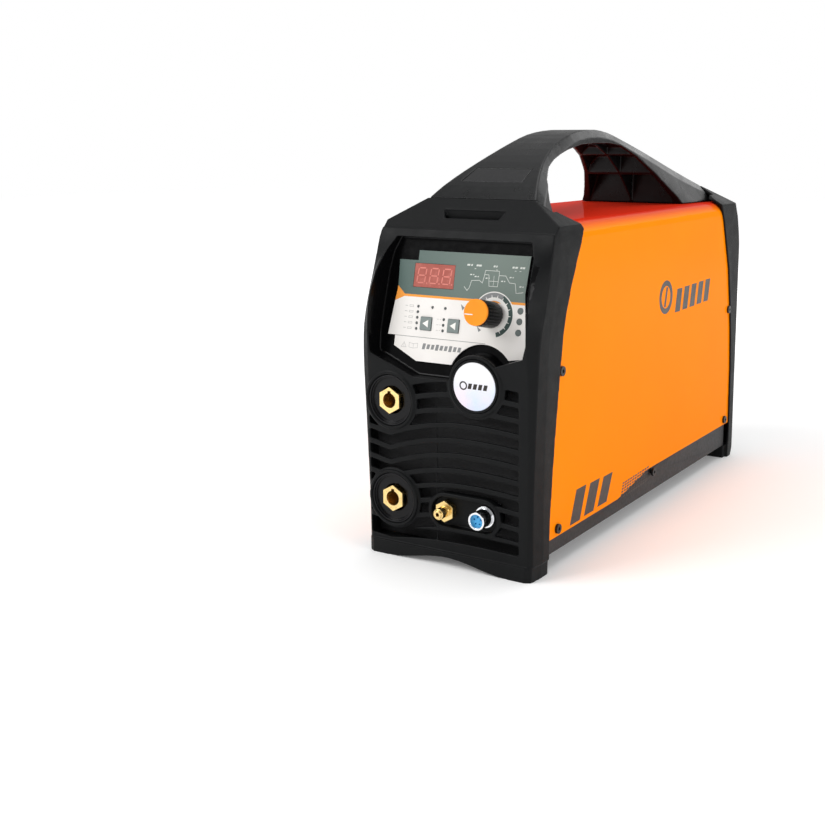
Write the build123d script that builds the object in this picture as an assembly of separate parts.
"""Portable tungsten-inert-gas welding machine, built as separate pieces.

Frame: X to the right seen from the front, -Y is the front, +Z is up.
The origin is the centre of the bounding box, at floor level. Millimetres.
"""
from build123d import *
import math
import os

os.makedirs("parts", exist_ok=True)

# ---------------------------------------------------------------- dimensions
HALF_W = 84.0             # half width of the rear frame
NOSE_Y = -250.0           # furthest point forward (gas outlet nose)
TAIL_Y = 250.0            # furthest point back (cable gland)
WALL = 3.0                # plastic wall of the end frames
COVER_HALF_W = 82.0       # sheet cover, outside
COVER_TOP = 290.0
COVER_T = 1.4
COVER_BEND = 14.0
COVER_LOW = 28.0
COVER_LOW_REAR = 40.0
TRAY_HALF_W = 80.2
TRAY_Z = 14.5
GAP = 0.3

PANEL_TILT = 12.0         # lean of the control panel, degrees
PANEL_ORIGIN = (0.0, -221.0, 210.0)

SOCKETS_XZ = {"lower": (-54.0, 52.0), "upper": (-56.0, 138.0)}
SOCKET_BORE_R = 6.5       # 13 mm welding plug pin
SOCKET_BORE_LEN = 32.0
BADGE_XZ = (29.0, 159.0)
PILL_XZ = (17.0, 48.0)
PILL_HALF = 19.0
PILL_R = 13.0
PILL_FLOOR_Y = -233.0
GAS_XZ = (-2.0, 48.2)
CONTROL_XZ = (34.8, 48.0)
CONTROL_FRONT_Y = -248.0
KNOB_UV = (34.3, 5.5)
KNOB_R = 10.9
KNOB_FRONT = 28.0         # height of the knob's cap over the panel
BUTTON_UV = ((-29.7, -6.4), (-2.4, -6.4))
BUTTON_HALF = 5.5
DISPLAY_UV = (-26.7, 34.0)
DISPLAY_HALF = (20.0, 10.0)
LED_UV = (
    [(-39.3, 7.6 - 4.7 * i) for i in range(5)]
    + [(-12.6, -1.8 - 4.7 * i) for i in range(3)]
    + [(-25.0, 7.6), (-12.2, 7.6)]
)
LENS_UV = ((59.3, 10.6), (59.3, 2.0), (59.3, -7.0))

LOUVRE_TOP_Z = 156.5      # middle of the highest air slot, where the slots crest
LOUVRE_PITCH = 13.0
LOUVRE_HALF = 4.2
LOUVRE_COUNT = 11
LOUVRE_CREST_X = 20.0

FAN_Z = 120.0
FAN_HALF = 59.5
FAN_Y = (205.0, 230.0)
SWITCH_XZ = (-42.0, 203.0)
GLAND_XZ = (48.0, 38.0)
INLET_XZ = (-48.0, 38.0)
EARTH_XZ = (0.0, 34.0)
COVER_SCREW_YZ = ((-190.6, 169.0), (-195.0, 35.0), (6.7, 34.5), (207.0, 46.0), (208.5, 171.0))

# (z, half width of flat front, its y, half width at corner, its y, half width of the side)
FRONT_TOE = (
    (0.0, 76.0, -240.0, 81.0, -237.0, 82.3),
    (12.5, 76.0, -240.0, 81.0, -237.0, 82.3),
)
FRONT_SECTIONS = (
    (13.0, 78.0, -238.0, 81.5, -235.5, 83.5),
    (50.0, 78.0, -238.0, 81.5, -236.0, 83.5),
    (90.0, 78.2, -238.2, 82.6, -236.3, 84.2),
    (120.0, 78.5, -238.5, 83.5, -236.5, 85.0),
    (158.0, 78.5, -239.3, 85.0, -236.5, 86.3),
    (180.0, 78.0, -240.5, 85.8, -235.8, 86.8),
    (200.0, 77.3, -241.0, 86.2, -234.0, 87.0),
    (222.0, 77.0, -239.6, 86.5, -227.5, 87.0),
    (245.0, 75.0, -232.2, 86.0, -219.5, 86.5),
    (260.0, 72.6, -222.5, 85.5, -215.0, 86.0),
    (275.0, 66.5, -211.8, 84.9, -210.5, 85.5),
    (284.0, 65.0, -206.0, 83.6, -206.5, 84.3),
)
FRONT_HEAD = ((310.0, 65.0, -206.0, 83.2, -206.0, 84.0),)

# side view (y, z) of the front frame; the loft above shapes its front
FRONT_SIDE = (
    (-250, -1), (-250, 282), (-206, 282), (-183, 306.5), (-180, 306.5),
    (-172, 296), (-156, 284), (-170, 260), (-182, 238), (-191, 218), (-196, 200),
    (-200, 172), (-203.5, 130), (-207, 84), (-210, 42), (-211, -1),
)
REAR_SIDE = (
    (218, 0), (228, 0), (235, 12), (236.5, 35), (238, 91), (239.5, 150), (238, 190),
    (235, 230), (229.5, 257), (224.5, 273), (216, 288), (190.5, 306.5), (187.5, 306.5),
    (172, 293), (172, 288), (176, 281), (182.5, 269), (191.5, 245), (202, 217), (210.5, 175),
    (215.5, 140), (218.5, 104), (220, 40), (220, 20), (218, 14),
)
REAR_INSIDE = (
    (150, 3), (226, 3), (232, 13), (233.5, 35), (235, 91), (236.5, 150), (235, 189),
    (232, 229), (226.6, 256), (221.8, 271.6), (213.8, 285.5), (190, 303), (150, 303),
)
# front view (x, z) of both end frames, outside and inside their shoulders
END_OUTLINE = ((-90, -1), (90, -1), (90, 284.3), (53, 306.5), (-53, 306.5), (-90, 284.3))
END_INSIDE = ((-90, WALL), (90, WALL), (90, 280.9), (52, 303), (-52, 303), (-90, 280.9))
COVER_REAR = ((225, 20), (225, 240), (222, 262), (213, 283), (205, 291))
COVER_FRONT = ((-186, 290), (-198, 264), (-207, 229), (-217, 194), (-222, 158), (-222, 20))

# low arch under both end frames, between their feet (x, z)
ARCH_HALF = 60
ARCH_RISE = 7.8
ARCH = [(-ARCH_HALF, -2.0), (ARCH_HALF, -2.0)] + [
    (x, ARCH_RISE * (1 + math.cos(math.pi * x / ARCH_HALF)) / 2)
    for x in range(ARCH_HALF, -ARCH_HALF - 1, -10)
]

# recess around the control panel, front view (x, z)
RECESS = (
    (-65.5, 275), (65.5, 275), (71.5, 263), (74.5, 247), (76, 225), (76, 196), (73, 185),
    (57, 180), (4, 161), (-33, 161), (-76, 178), (-77.5, 196), (-76, 225), (-74.5, 247),
    (-71.5, 263),
)

# (y, top height, half width of top face, half width below the bevel, bevel drop, foot half width)
HANDLE_SECTIONS = (
    (-182.5, 305.8, 52.7, 60, 9, 64),
    (-168, 317, 46, 54, 10, 60),
    (-146, 330, 37, 45, 10, 56),
    (-120, 342.3, 29, 36, 9, 50),
    (-92, 352.8, 24, 30, 8, 42),
    (-64, 360.3, 22.5, 27, 7, 36),
    (-37, 364, 20.5, 25, 7, 34),
    (-6, 365, 20, 25, 7, 34),
    (20, 362.3, 20.5, 26, 7, 36),
    (45, 356.5, 22, 29, 8, 42),
    (73, 348.7, 25, 33, 9, 50),
    (101, 340, 29, 38, 10, 56),
    (135, 327.8, 36, 46, 11, 61),
    (169, 315, 45, 55, 10, 64),
    (187.2, 307.5, 52, 60, 8, 66),
)
HAND_GAP = (
    (-157, 280), (-156.5, 305), (-152, 314), (-144, 322.5), (-129, 332), (-112, 338.5),
    (-96, 343), (-78, 346.8), (-48, 351), (-18, 352.5), (14, 352.3), (36, 350), (64, 339.5),
    (91, 323), (108, 308), (120, 297), (125, 289), (125, 280),
)


# ------------------------------------------------------------------- helpers
def box(x0, x1, y0, y1, z0, z1):
    size = Box(x1 - x0, y1 - y0, z1 - z0)
    return Pos((x0 + x1) / 2, (y0 + y1) / 2, (z0 + z1) / 2) * size


def rod_y(r, x, z, y0, y1):
    """Cylinder along Y."""
    return Pos(x, (y0 + y1) / 2, z) * Rot(90, 0, 0) * Cylinder(r, abs(y1 - y0))


def rod_x(r, y, z, x0, x1):
    """Cylinder along X."""
    return Pos((x0 + x1) / 2, y, z) * Rot(0, 90, 0) * Cylinder(r, abs(x1 - x0))


def rod_z(r, x, y, z0, z1):
    """Cylinder along Z."""
    return Pos(x, y, (z0 + z1) / 2) * Cylinder(r, z1 - z0)


def hex_y(flats, x, z, y0, y1):
    """Hexagonal bar along Y, measured across its flats."""
    shape = RegularPolygon(flats / math.sqrt(3), 6, rotation=30)
    return Pos(x, (y0 + y1) / 2, z) * Rot(90, 0, 0) * extrude(shape, (y1 - y0) / 2, both=True)


def prism_x(points, x0, x1):
    """Side-view outline (y, z) swept along X."""
    face = Plane.YZ.offset(x0) * Polygon(*points, align=None)
    return extrude(face, x1 - x0, dir=(1, 0, 0))


def prism_y(points, y0, y1):
    """Front-view outline (x, z) swept along Y."""
    face = Plane.XZ.offset(-y0) * Polygon(*points, align=None)
    return extrude(face, y1 - y0, dir=(0, 1, 0))


def mirrored(shape):
    """The shape and its copy on the other side of the machine."""
    return Part() + [shape, mirror(shape, Plane.YZ)]


def loft_rings(rings):
    wires = [Wire.make_polygon([Vector(*p) for p in ring], close=True) for ring in rings]
    return Part() + Solid.make_loft(wires, ruled=True)


def smoothed(rows, count):
    """The rows with count - 1 more between neighbours, on a smooth curve through them all."""
    filled = []
    for i in range(len(rows) - 1):
        before, start, end, after = (rows[max(i - 1, 0)], rows[i], rows[i + 1],
                                     rows[min(i + 2, len(rows) - 1)])
        for step in range(count):
            t = step / count
            row = []
            for a, b, c, d in zip(before, start, end, after):
                reach = end[0] - start[0]
                slope_b = (c - a) / (end[0] - before[0]) * reach
                slope_c = (d - b) / (after[0] - start[0]) * reach
                rise = (3 - 2 * t) * t * t * (c - b)
                row.append(b + rise + t * (1 - t) ** 2 * slope_b + t * t * (t - 1) * slope_c)
            filled.append(tuple(row))
    return filled + [rows[-1]]


def save(node, *shapes):
    """Write one node; several shapes stay separate solids."""
    solids = [s for shape in shapes for s in shape.solids()]
    export_step(Compound(children=solids) if len(solids) > 1 else solids[0], f"parts/{node}.step")


tilt = math.radians(PANEL_TILT)
panel_plane = Plane(
    origin=PANEL_ORIGIN, x_dir=(1, 0, 0), z_dir=(0, -math.cos(tilt), math.sin(tilt))
)


def panel_box(u, v, half_u, half_v, w0, w1):
    """Box square to the control panel; w grows outwards from its surface."""
    block = Box(2 * half_u, 2 * half_v, w1 - w0)
    return panel_plane.location * Pos(u, v, (w0 + w1) / 2) * block


def panel_rod(u, v, r, w0, w1):
    return panel_plane.location * Pos(u, v, (w0 + w1) / 2) * Cylinder(r, w1 - w0)


def panel_prism(points, w0, w1):
    shape = Pos(0, 0, w0) * Polygon(*points, align=None)
    return panel_plane.location * extrude(shape, w1 - w0, dir=(0, 0, 1))


def screw_x(y, z, head_x, tip_x):
    """Pan-head screw whose head sits on the +X face at head_x."""
    head = rod_x(4.2, y, z, head_x, head_x + 2.2)
    head = head - rod_x(1.6, y, z, head_x + 1.2, head_x + 3)
    return head + rod_x(2.0, y, z, tip_x, head_x)


# --------------------------------------------------------------- front frame
def front_rings(inset):
    """Horizontal sections of the front frame, shrunk by a wall thickness."""
    rings = []
    rows = list(FRONT_TOE) + smoothed(FRONT_SECTIONS, 2) + list(FRONT_HEAD)
    for z, flat_x, flat_y, corner_x, corner_y, side_x in rows:
        side = side_x - inset
        taper = min(-200.0, corner_y + 14)
        half = [
            (flat_x - 0.6 * inset, flat_y + inset),
            (corner_x - inset, corner_y + 0.8 * inset),
            (side, taper + 0.4 * inset),
            (side, -140.0),
        ]
        ring = [(x, y, z) for x, y in half]
        ring += [(-x, y, z) for x, y in reversed(half)]
        rings.append(ring)
    return rings


def pill(extra, y0, y1):
    """Stadium-shaped boss round the gas and control outlets."""
    shape = SlotCenterToCenter(2 * PILL_HALF, 2 * (PILL_R + extra))
    shape = Plane.XZ.offset(-y0) * Pos(*PILL_XZ) * shape
    return extrude(shape, y1 - y0, dir=(0, 1, 0))


def cover_room(extra, reach=0.0):
    """Volume inside the sheet cover, grown by extra all round and by reach at both ends."""
    half = COVER_HALF_W + extra
    top = COVER_TOP + extra
    low = COVER_LOW - 12
    shape = Pos(0, (low + top) / 2) * RectangleRounded(2 * half, top - low, COVER_BEND + extra)
    body = extrude(Plane.XZ.offset(260) * shape, 520, dir=(0, 1, 0))
    front = [(y - reach, z + (1 if z > 280 else 0)) for y, z in COVER_FRONT]
    side = prism_x(front + [(y + reach, z) for y, z in COVER_REAR], -90, 90)
    return body & side


def sag(x):
    """How far the air slots lie below their crest at this place across the front."""
    run = x - LOUVRE_CREST_X
    if run > 0:
        return 0.001 * run * run
    rise_at_edge = 0.65 * max(0.0, -58 - x)
    return 0.0025 * run * run - rise_at_edge


def louvres():
    """Air slots in the front face."""
    slots = Part()
    xs = [-79 + 148 * i / 20 for i in range(21)]
    for k in range(LOUVRE_COUNT):
        mid = LOUVRE_TOP_Z - LOUVRE_PITCH * k
        share = 1.0 if k < LOUVRE_COUNT - 1 else 0.44
        top = [(x, mid - share * sag(x) + LOUVRE_HALF) for x in xs]
        low = [(x, z - 2 * LOUVRE_HALF) for x, z in reversed(top)]
        slots += prism_y(top + low, -250, -225)
    slots -= box(-11.7, -10.3, -236.4, -220, 0, 170)
    slots -= pill(3.5, -260, -220)
    slots -= rod_y(28, *BADGE_XZ, -260, -220)
    slots -= box(-90, -30, -260, -220, 158, 190)
    for x, z in SOCKETS_XZ.values():
        slots -= rod_y(27, x, z, -260, -220)
    return slots


side_blank = prism_x(FRONT_SIDE, -90, 90)
outline_blank = prism_y(END_OUTLINE, -260, -100)
outer = loft_rings(front_rings(0)) & side_blank & outline_blank
inner = loft_rings(front_rings(WALL))
hood_inside = prism_x(
    ((-240, WALL), (-240, 279.5), (-204, 279.5), (-182, 303), (-130, 303), (-130, WALL)),
    -90, 90,
)
shell = outer - (inner & hood_inside & prism_y(END_INSIDE, -260, -100))

in_front_of_floor = panel_plane.location * Pos(0, 0, -2.7 + 50) * Box(400, 400, 100)
in_front_of_back = panel_plane.location * Pos(0, 0, -5.2 + 50) * Box(400, 400, 100)
recess_outer = offset(Polygon(*RECESS, align=None), 2.5, kind=Kind.INTERSECTION)
recess_tub = extrude(Plane.XZ.offset(260) * recess_outer, 100, dir=(0, 1, 0))
recess_tub = recess_tub & in_front_of_back & outer
recess_cut = prism_y(RECESS, -260, -160) & in_front_of_floor

front_bezel = shell + recess_tub
for x, z in SOCKETS_XZ.values():
    front_bezel += rod_y(25, x, z, -240.5, -231.5)
front_bezel += pill(3.0, -239.0, -230.0)
front_bezel -= louvres()
front_bezel -= recess_cut
badge_mount = rod_y(25.5, *BADGE_XZ, -230, -205) & in_front_of_back & outer
badge_mount += rod_y(25.5, *BADGE_XZ, -240.5, -228)
front_bezel += badge_mount
front_bezel -= rod_y(22.3, *BADGE_XZ, -245, -238.6)
front_bezel -= panel_box(0, 10.5, 57, 34.5, -8, -2)
front_bezel -= panel_box(0, -28, 20, 8, -8, -2) & box(-40, -6, -260, -100, 176, 300)
for x, z in SOCKETS_XZ.values():
    front_bezel -= rod_y(22.4, x, z, -245, -234.5)
    front_bezel -= rod_y(15.4, x, z, -245, -200)
front_bezel -= pill(0, -245, PILL_FLOOR_Y)
front_bezel -= rod_y(6.3, *GAS_XZ, -245, -200)
front_bezel -= rod_y(6.3, *CONTROL_XZ, -245, -200)

lug = box(74.5, 79.9, -237.5, -184, 160, 178) - rod_x(2.1, -190.6, 169, 70, 90)
front_bezel += mirrored(lug)
front_bezel -= cover_room(GAP, 0.5) - cover_room(-2.0, 5.0)
front_bezel -= box(-67, 67, -179.9, -150, 290.5, 310)
slot_face_cut = prism_y(((-31, 297.6), (-27, 290.6), (26, 290.6), (30, 297.6)), -240, -150)
front_bezel -= slot_face_cut & prism_x(
    ((-215, 285), (-215, 300), (-190, 318), (-186, 300), (-196, 285)), -60, 60
)
front_bezel -= prism_y(ARCH, -260, -190)
front_bezel += box(-80, 80, -237, -216, 11.5, TRAY_Z - 2 * GAP)
front_bezel += box(-33, 33, -190.5, -187.5, 288.5, 297.4)
front_bezel -= box(-TRAY_HALF_W - GAP, TRAY_HALF_W + GAP, -223.5, -150, TRAY_Z - GAP, COVER_LOW)
save("front_bezel", front_bezel)

badge = rod_y(22.0, *BADGE_XZ, -240.9, -238.9)
badge_ring = badge - rod_y(20.2, *BADGE_XZ, -245, -230)
save("badge_ring", badge_ring)
save("badge_disc", rod_y(19.9, *BADGE_XZ, -240.6, -238.9))

# -------------------------------------------------------------- sheet cover
cover = cover_room(0) - cover_room(-COVER_T)
cover -= box(-100, 100, -300, 300, 0, COVER_LOW)
cover -= prism_x(
    ((-74, 10), (-74, COVER_LOW), (-7, COVER_LOW_REAR), (300, COVER_LOW_REAR), (300, 10)), -100, 100
)
for y, z in COVER_SCREW_YZ:
    cover -= rod_x(2.3, y, z, -90, 90)
handle_bolt_xy = [(x, 140) for x in (-40, 40)]
for x, y in handle_bolt_xy:
    cover -= rod_z(2.8, x, y, 280, 300)
save("cover", cover)
save("cover_screws", *[
    shape for y, z in COVER_SCREW_YZ
    for shape in (
        screw_x(y, z, COVER_HALF_W + 0.05, 75.5),
        mirror(screw_x(y, z, COVER_HALF_W + 0.05, 75.5), Plane.YZ),
    )
])

# ------------------------------------------------------------------ base tray
tray = box(-TRAY_HALF_W, TRAY_HALF_W, -218, 214, TRAY_Z, 60)
tray -= box(-TRAY_HALF_W + 1.5, TRAY_HALF_W - 1.5, -216.5, 212.5, TRAY_Z + 1.5, 70)
tray -= box(-70, 70, -230, 230, 30, 70)
for y, z in COVER_SCREW_YZ:
    if z < 60:
        tray -= rod_x(2.2, y, z, -90, 90)
for i in range(9):
    for side in (-1, 1):
        tray -= box(side * 40 - 22, side * 40 + 22, -120 + 26 * i, -112 + 26 * i, 10, 20)
save("base_tray", tray)

# ----------------------------------------------------------------- rear frame
rear_outer = prism_x(REAR_SIDE, -HALF_W, HALF_W) & prism_y(END_OUTLINE, 100, 260)
corner = Pos(0, 139) * RectangleRounded(2 * HALF_W, 201, 9)
rear_outer = rear_outer & extrude(corner, 320)
rear_inside = prism_x(REAR_INSIDE, -HALF_W + WALL, HALF_W - WALL)
rear_inside = rear_inside & prism_y(END_INSIDE, 100, 260)
rear_bezel = rear_outer - rear_inside
rear_bezel += mirrored(box(74.5, 79.9, 202, 236, 162, 180) - rod_x(2.1, 208.5, 171, 70, 90))
rear_bezel -= cover_room(GAP, 0.5) - cover_room(-2.0, 5.0)
rear_bezel -= box(-67.5, 67.5, 150, 187.5, 285, 310)
rear_bezel -= mirrored(rod_x(4.7, *COVER_SCREW_YZ[-1], 80, 90))
rear_bezel -= rod_y(56, 0, FAN_Z, 230, 260)
guard_screw_xz = [(x, FAN_Z + z) for x in (-52.5, 52.5) for z in (-52.5, 52.5)]
for x, z in guard_screw_xz:
    rear_bezel -= rod_y(2.3, x, z, 220, 260)
for k in range(6):
    rear_bezel -= box(12, 66, 215, 245, 196 + 7.4 * k, 199.6 + 7.4 * k)
switch_x, switch_z = SWITCH_XZ
rear_bezel += box(switch_x - 18, switch_x + 18, 233, 238.1, switch_z - 18, switch_z + 18)
rear_bezel -= box(switch_x - 14.2, switch_x + 14.2, 220, 250, switch_z - 14.2, switch_z + 14.2)
rear_bezel -= rod_y(10.2, *GLAND_XZ, 220, 260)
rear_bezel -= rod_y(6.8, *INLET_XZ, 220, 260)
rear_bezel -= rod_y(3.2, *EARTH_XZ, 220, 260)
rear_bezel -= prism_y(ARCH, 190, 260)
rear_bezel += mirrored(box(61, HALF_W - 3, 211, 229, 0, TRAY_Z - GAP))
rear_bezel -= box(-TRAY_HALF_W - GAP, TRAY_HALF_W + GAP, 150, 220, TRAY_Z - GAP, COVER_LOW)
save("rear_bezel", rear_bezel)

# --------------------------------------------------------------------- handle
def handle_loft(inset, y_from, y_to):
    """Handle body; inset makes the smaller one used to hollow it."""
    rings = []
    for y, top, face, bevel, drop, foot_half in smoothed(HANDLE_SECTIONS, 2):
        if not y_from <= y <= y_to:
            continue
        half = [
            (face - 0.7 * inset, top - inset),
            (bevel - inset, top - drop - 0.6 * inset),
            (foot_half - inset, 288.0 if inset == 0 else 270.0),
        ]
        ring = [(x, y, z) for x, z in half] + [(-x, y, z) for x, z in reversed(half)]
        rings.append(ring)
    return loft_rings(rings)


handle = handle_loft(0, -200, 200)
handle -= box(-90, 90, -300, 300, 0, COVER_TOP + GAP)
handle -= prism_x(HAND_GAP, -90, 90)
ribs = Part()
for y in (60, 92, 124, 156):
    ribs += box(-70, 70, y, y + 2.5, 280, 370)
ribs += box(-1.25, 1.25, 20, 190, 280, 370)
handle -= handle_loft(3.5, 19, 190) - ribs
handle -= box(-90, 90, 187.2, 200, 280, 320)
handle -= box(-90, 90, -200, -179.6, 280, 306.8)
for x, y in handle_bolt_xy:
    handle += rod_z(6, x, y, COVER_TOP + GAP, 312) & handle_loft(0, -200, 200)
    handle -= rod_z(2.0, x, y, 280, 307)

slope = math.degrees(math.atan2(330 - 317, 168 - 146))
inlay_plane = Location((0, -157, 323.4)) * Location((0, 0, 0), (slope, 0, 0))
INLAY_OUTLINE = ((-32, -5.5), (28, -5.5), (28, 15.5), (-28, 15.5))
INLAY_DEPTH = 1.8


def inlay_block(inset, low, high):
    shape = offset(Polygon(*INLAY_OUTLINE, align=None), -inset, kind=Kind.INTERSECTION)
    return inlay_plane * Pos(0, 0, low) * extrude(shape, high - low, dir=(0, 0, 1))


handle -= inlay_block(0, -INLAY_DEPTH, 6)
save("handle", handle)
save("handle_inlay", inlay_block(0.4, 0.1 - INLAY_DEPTH, -0.3))
save("handle_bolts", *[
    rod_z(2.0, x, y, 276, 306) + rod_z(4.5, x, y, COVER_TOP - COVER_T - 4.2, COVER_TOP - COVER_T - 0.2)
    for x, y in handle_bolt_xy
])

# -------------------------------------------------------------- control panel
PANEL_OUTLINE = (
    (-63, 46.5), (-44, 46.5), (-44, 55), (64, 55), (62, 24), (67.5, -18), (66, -28), (36, -33),
    (0, -38.5), (-36, -38.5), (-60, -27), (-60, -18), (-67.5, -18), (-62, 24),
)
clear_of_badge = rod_y(32.4, *BADGE_XZ, -260, -190)


def panel_holes(clear):
    """Openings the film and the plate behind it share."""
    holes = Part()
    holes += panel_box(*DISPLAY_UV, DISPLAY_HALF[0] + clear, DISPLAY_HALF[1] + clear, -4, 2)
    for u, v in BUTTON_UV:
        holes += panel_box(u, v, BUTTON_HALF + clear, BUTTON_HALF + clear, -4, 2)
    for u, v in LED_UV:
        holes += panel_rod(u, v, 1.0 + clear, -4, 2)
    for u, v in LENS_UV:
        holes += panel_rod(u, v, 2.5 + clear, -4, 2)
    return holes + panel_rod(*KNOB_UV, 4.8, -4, 2)


film = panel_prism(PANEL_OUTLINE, -0.5, 0.0) - clear_of_badge - panel_holes(0.3)
save("panel_film", film)
plate = panel_prism(PANEL_OUTLINE, -2.4, -0.8) - clear_of_badge - panel_holes(0.3)
save("panel_plate", plate)
save("display_window", panel_box(*DISPLAY_UV, *DISPLAY_HALF, -2.2, -0.1))
digits = panel_box(*DISPLAY_UV, 18.8, 9.5, -10.7, -2.6)
for i in range(3):
    u = DISPLAY_UV[0] - 12.5 + 12.5 * i
    digits -= panel_box(u, DISPLAY_UV[1], 4.4, 7.0, -2.9, -2.0) - panel_box(
        u, DISPLAY_UV[1], 3.2, 5.8, -3.1, -1.9
    )
save("display_module", digits)
board_uv = (0, 9.5)
board = panel_box(*board_uv, 56, 32, -12.6, -11.0)
for u in (-52, 52):
    for v in (-18, 37):
        board -= panel_rod(u, v, 1.7, -14, -9)
save("control_board", board)
save("board_posts", *[
    panel_rod(u, v, 2.8, -10.8, -2.7) + panel_rod(u, v, 1.4, -14.0, -10.8)
    for u in (-52, 52) for v in (-18, 37)
])
for name, (u, v) in zip(("button_left", "button_right"), BUTTON_UV):
    key = panel_box(u, v, BUTTON_HALF, BUTTON_HALF, -3.4, 1.1)
    key += panel_box(u, v, BUTTON_HALF + 1.2, BUTTON_HALF + 1.2, -4.4, -3.4)
    save(name, key)
save("key_switches", *[
    panel_box(u, v, 3, 3, -10.8, -7.0) + panel_rod(u, v, 1.7, -7.0, -5.2) for u, v in BUTTON_UV
])
save("status_leds", *[panel_rod(u, v, 1.0, -10.7, 0.25) for u, v in LED_UV])
save("indicator_lenses", *[panel_rod(u, v, 2.5, -2.5, 0.3) for u, v in LENS_UV])

encoder = panel_box(*KNOB_UV, 7, 7, -10.8, -4.2) + panel_rod(*KNOB_UV, 4.5, -4.2, 2.5)
encoder -= panel_rod(*KNOB_UV, 3.05, -9.5, 5)
save("encoder", encoder)
encoder_nut = panel_rod(*KNOB_UV, 6.2, 0.1, 1.9) - panel_rod(*KNOB_UV, 4.5, -1, 5)
save("knob_shaft", panel_rod(*KNOB_UV, 3.0, -9.2, 23.9))
knob = panel_rod(*KNOB_UV, KNOB_R, 2.6, 25.4) - panel_rod(*KNOB_UV, 3.0, -1, 24.0)
knob -= panel_rod(*KNOB_UV, 7.2, -1, 4.4) + panel_rod(*KNOB_UV, 9.4, 24.3, 30)
for i in range(24):
    turn = 2 * math.pi * i / 24
    u = KNOB_UV[0] + (KNOB_R + 0.3) * math.cos(turn)
    v = KNOB_UV[1] + (KNOB_R + 0.3) * math.sin(turn)
    knob -= panel_rod(u, v, 0.55, 2, 22.5)
save("knob_body", knob)
cap = panel_rod(*KNOB_UV, 9.3, 24.4, 25.7) + panel_rod(*KNOB_UV, KNOB_R - 0.2, 25.7, KNOB_FRONT)
cap -= panel_box(KNOB_UV[0] - 6.3, KNOB_UV[1] - 2.0, 4.2, 0.5, KNOB_FRONT - 0.4, 30)
save("knob_cap", cap)

# ------------------------------------------------------------ welding sockets
socket_nuts = []
stud_nuts = []
for name, (x, z) in SOCKETS_XZ.items():
    dish = rod_y(22.0, x, z, -239.5, -234.7) + rod_y(15.0, x, z, -234.7, -206)
    dish -= rod_y(20.4, x, z, -245, -237.8) + rod_y(19.0, x, z, -245, -236.4)
    dish -= rod_y(11.9, x, z, -245, -223) + rod_y(9.3, x, z, -225, -200)
    save(f"socket_body_{name}", dish)
    brass = hex_y(20.0, x, z, -240.6, -223.4) + rod_y(9.0, x, z, -223.4, -200)
    brass += rod_y(5.0, x, z, -200, -180)
    brass -= rod_y(SOCKET_BORE_R, x, z, -241, -240.6 + SOCKET_BORE_LEN)
    brass -= box(x - 1.6, x + 1.6, -241, -226, z, z + 8.2)
    save(f"socket_brass_{name}", brass)
    socket_nuts.append(hex_y(26.0, x, z, -205.5, -199.5) - rod_y(9.3, x, z, -210, -190))
    stud_nuts.append(hex_y(16.0, x, z, -190.5, -184) - rod_y(5.0, x, z, -195, -180))

# --------------------------------------------------- gas outlet, control plug
floor_y = PILL_FLOOR_Y - 0.2
outlet = hex_y(16.5, *GAS_XZ, -239.5, floor_y) + rod_y(4.8, *GAS_XZ, NOSE_Y + 1.4, -239.5)
outlet += rod_y(3.6, *GAS_XZ, NOSE_Y, NOSE_Y + 1.4)
outlet += rod_y(6.0, *GAS_XZ, floor_y, -214) + rod_y(3.6, *GAS_XZ, -214, -198)
outlet -= rod_y(1.6, *GAS_XZ, -255, -190)
save("gas_outlet", outlet)
control_shell = rod_y(9.3, *CONTROL_XZ, floor_y - 1.4, floor_y)
control_shell += rod_y(7.6, *CONTROL_XZ, CONTROL_FRONT_Y, floor_y - 1.4)
control_shell += rod_y(6.0, *CONTROL_XZ, floor_y, -212)
control_shell -= rod_y(5.9, *CONTROL_XZ, -250, floor_y - 1.8) + rod_y(4.6, *CONTROL_XZ, -250, -205)
save("control_shell", control_shell)
insert = rod_y(5.8, *CONTROL_XZ, CONTROL_FRONT_Y + 2.6, floor_y - 1.9)
for i in range(5):
    turn = 2 * math.pi * i / 5 + math.pi / 2
    x = CONTROL_XZ[0] + 3.3 * math.cos(turn)
    z = CONTROL_XZ[1] + 3.3 * math.sin(turn)
    insert -= rod_y(0.85, x, z, -250, -241)
save("control_insert", insert)
outlet_nuts = [
    hex_y(17, x, z, -229.7, -225) - rod_y(6.0, x, z, -240, -200) for x, z in (GAS_XZ, CONTROL_XZ)
]

# -------------------------------------------------------------- rear fittings
def switch_block(half_x, half_z, y0, y1):
    x, z = SWITCH_XZ
    return box(x - half_x, x + half_x, y0, y1, z - half_z, z + half_z)


switch = switch_block(13.9, 13.9, 208, 238.4) + switch_block(16.5, 16.5, 238.4, 240.2)
switch -= switch_block(11.5, 11.8, 224, 245)
save("switch_body", switch)
# the rocker turns on a line 6 mm behind the frame's outer face
PIVOT_YZ = (232.0, SWITCH_XZ[1])
rocker_side = [
    (PIVOT_YZ[0] + dy, PIVOT_YZ[1] + dz)
    for dy, dz in ((-5, -4), (-5, 4), (4.4, 10.9), (5.6, 0), (9.8, -10.2))
]
save("switch_rocker", prism_x(rocker_side, SWITCH_XZ[0] - 11.0, SWITCH_XZ[0] + 11.0))
gland = rod_y(10.0, *GLAND_XZ, 220, 238.2) + hex_y(22.5, *GLAND_XZ, 238.2, TAIL_Y)
gland -= rod_y(5.5, *GLAND_XZ, 200, 260)
save("cable_gland", gland)
gland_nut = hex_y(24, *GLAND_XZ, 226.5, 232.2) - rod_y(10.0, *GLAND_XZ, 200, 250)
save("nylon_nuts", *socket_nuts, gland_nut)
inlet = rod_y(6.5, *INLET_XZ, 214, 238.2) + hex_y(17, *INLET_XZ, 238.2, 240.4)
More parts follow.
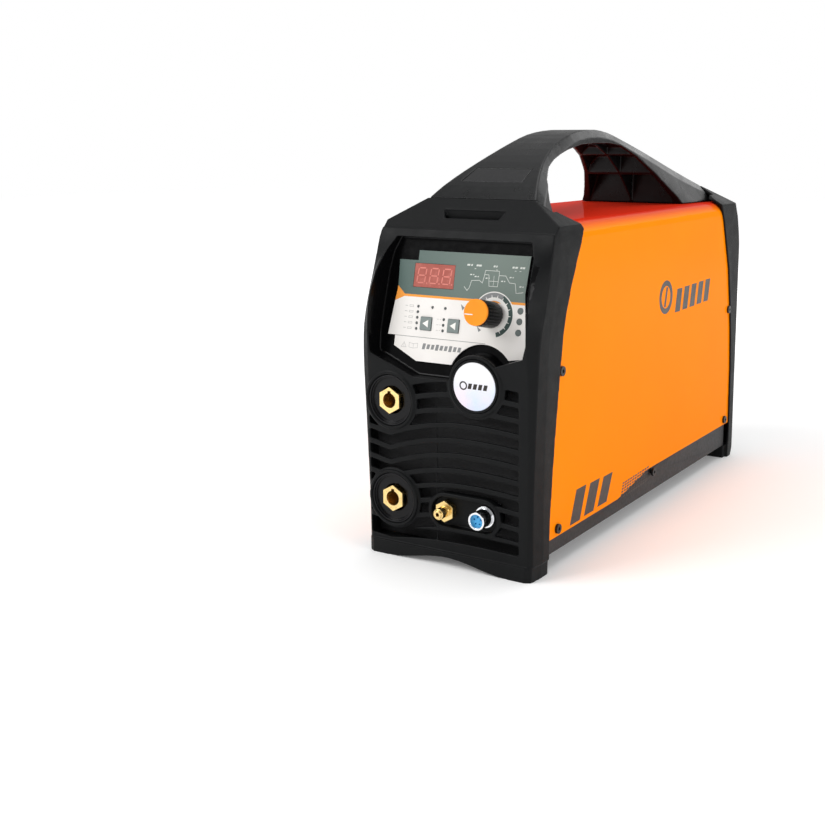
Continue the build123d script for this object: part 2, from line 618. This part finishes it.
inlet += rod_y(4.4, *INLET_XZ, 240.4, TAIL_Y) + rod_y(3.6, *INLET_XZ, 196, 214)
inlet -= rod_y(2.2, *INLET_XZ, 190, 250)
save("gas_inlet", inlet)
inlet_nut = hex_y(18, *INLET_XZ, 227.5, 232.2) - rod_y(6.5, *INLET_XZ, 200, 250)
save("brass_nuts", *outlet_nuts, inlet_nut)
stud = rod_y(2.5, *EARTH_XZ, 240.7, TAIL_Y - 2) + rod_y(2.98, *EARTH_XZ, 224, 240.7)
save("earth_stud", stud + hex_y(10, *EARTH_XZ, 222, 226))
earth_nut = hex_y(10, *EARTH_XZ, 237.2, 240.5) - rod_y(3.0, *EARTH_XZ, 200, 250)
save("steel_nuts", encoder_nut, *stud_nuts, earth_nut)

# ------------------------------------------------------------------------ fan
fan_frame = box(-FAN_HALF, FAN_HALF, *FAN_Y, FAN_Z - FAN_HALF, FAN_Z + FAN_HALF)
fan_frame -= rod_y(57.0, 0, FAN_Z, 200, 240)
fan_frame += rod_y(19.5, 0, FAN_Z, FAN_Y[0], FAN_Y[0] + 3)
for i in range(3):
    arm = box(17, 58, FAN_Y[0], FAN_Y[0] + 3, -2.5, 2.5)
    fan_frame += Pos(0, 0, FAN_Z) * Rot(0, 120 * i + 30, 0) * arm
for x, z in guard_screw_xz:
    fan_frame -= rod_y(2.3, x, z, 200, 240)
save("fan_frame", fan_frame)
rotor = rod_y(19.0, 0, FAN_Z, FAN_Y[0] + 3.6, FAN_Y[1] - 1)
for i in range(7):
    blade = Box(36, 19, 1.6)
    blade = Pos(36.5, (FAN_Y[0] + FAN_Y[1]) / 2 + 1.3, 0) * Rot(38, 0, 0) * blade
    rotor += Pos(0, 0, FAN_Z) * Rot(0, 360 / 7 * i, 0) * blade
save("fan_rotor", rotor)
guard = Part()
for r in (16, 26, 36, 46, 55.5):
    guard += rod_y(r + 1, 0, FAN_Z, 239.9, 241.9) - rod_y(r - 1, 0, FAN_Z, 230, 250)
for i in range(2):
    bar = box(-72, 72, 239.9, 241.4, -1, 1) - rod_y(15.5, 0, 0, 230, 250)
    guard += Pos(0, 0, FAN_Z) * Rot(0, 45 + 90 * i, 0) * bar
for x, z in guard_screw_xz:
    guard += rod_y(4.6, x, z, 239.9, 241.4)
    guard -= rod_y(2.3, x, z, 230, 250)
save("fan_guard", guard)
save("fan_screws", *[
    rod_y(3.8, x, z, 241.5, 242.8) + rod_y(2.0, x, z, 207, 241.5) for x, z in guard_screw_xz
])

# ----------------------------------------------------------- working innards
deck = box(-72, 72, -150, 160, 150, 152)
for i in range(5):
    deck -= box(-50, 50, -120 + 52 * i, -96 + 52 * i, 149, 153)
deck += mirrored(box(72, 74, -150, 160, TRAY_Z + 1.6, 152))
for x in (-60, 60):
    for y in (-124, -5, 114):
        deck += rod_z(3.5, x, y, 151, 155.8)
save("deck", deck)


def heatsink(z0, z1):
    block = box(-46, 46, -90, 90, z0, z0 + 6)
    for i in range(12):
        x = -46 + 8.2 * i
        block += box(x, x + 1.8, -90, 90, z0 + 6, z1)
    return block


save("heatsinks", heatsink(30, 66), mirror(heatsink(-140, -104), Plane.XY))
save("power_modules", *[
    box(-40 + 30 * i, -20 + 30 * i, y, y + 30, 140.4, 146) for i in range(3) for y in (-70, -15, 40)
])
save("power_board", box(-66, 66, -130, 120, 156, 157.6))
save("capacitors", *[rod_z(15.5, x, y, 158, 204) for x in (-42, -6) for y in (-90, -52)])
core = box(-10, 58, 0, 70, 158, 222) - box(6, 42, -10, 80, 172, 208)
save("transformer_core", core + box(19, 29, 0, 70, 172, 208))
winding = box(8, 40, -6, 76, 174, 206) - box(18.5, 29.5, -1, 71, 160, 220)
save("transformer_winding", winding)
choke = Pos(-36, 30, 186) * Rot(90, 0, 0) * Torus(17, 9)
save("output_choke", choke)
save("arc_start_board", box(-66, -64.4, -150, -60, 166, 250))
coil = Pos(-52, -128, 208) * Rot(0, 90, 0) * Torus(13, 4)
save("arc_start_coil", coil)
valve = box(16, 52, -150, -122, 30, 64) + rod_z(13, 34, -136, 64, 100)
save("gas_valve", valve)


def hose(z, *points):
    """Rubber tube lying level at height z, with rounded corners."""
    path = FilletPolyline(*[(x, y, z) for x, y in points], radius=12)
    start = Plane(origin=path @ 0, z_dir=path % 0)
    return sweep(start * Circle(4.6), path=path) - sweep(start * Circle(3.65), path=path)


gas_x, gas_z = GAS_XZ
save("hose_front", hose(gas_z, (gas_x, -213.5), (gas_x, -176), (34, -176), (34, -150.3)))
save("hose_rear", hose(38, (-48, 213.5), (-48, 150), (-61, 120), (-61, -136), (15.7, -136)))
for name, rise in (("lower", 30.0), ("upper", 40.0)):
    x, z = SOCKETS_XZ[name]
    bar = box(x - 8, x + 8, -183.8, -180.8, z - 9, z + rise) - rod_y(5.2, x, z, -190, -170)
    bar += box(x - 8, x + 8, -183.8, -152, z + rise - 3, z + rise)
    save(f"busbar_{name}", bar)
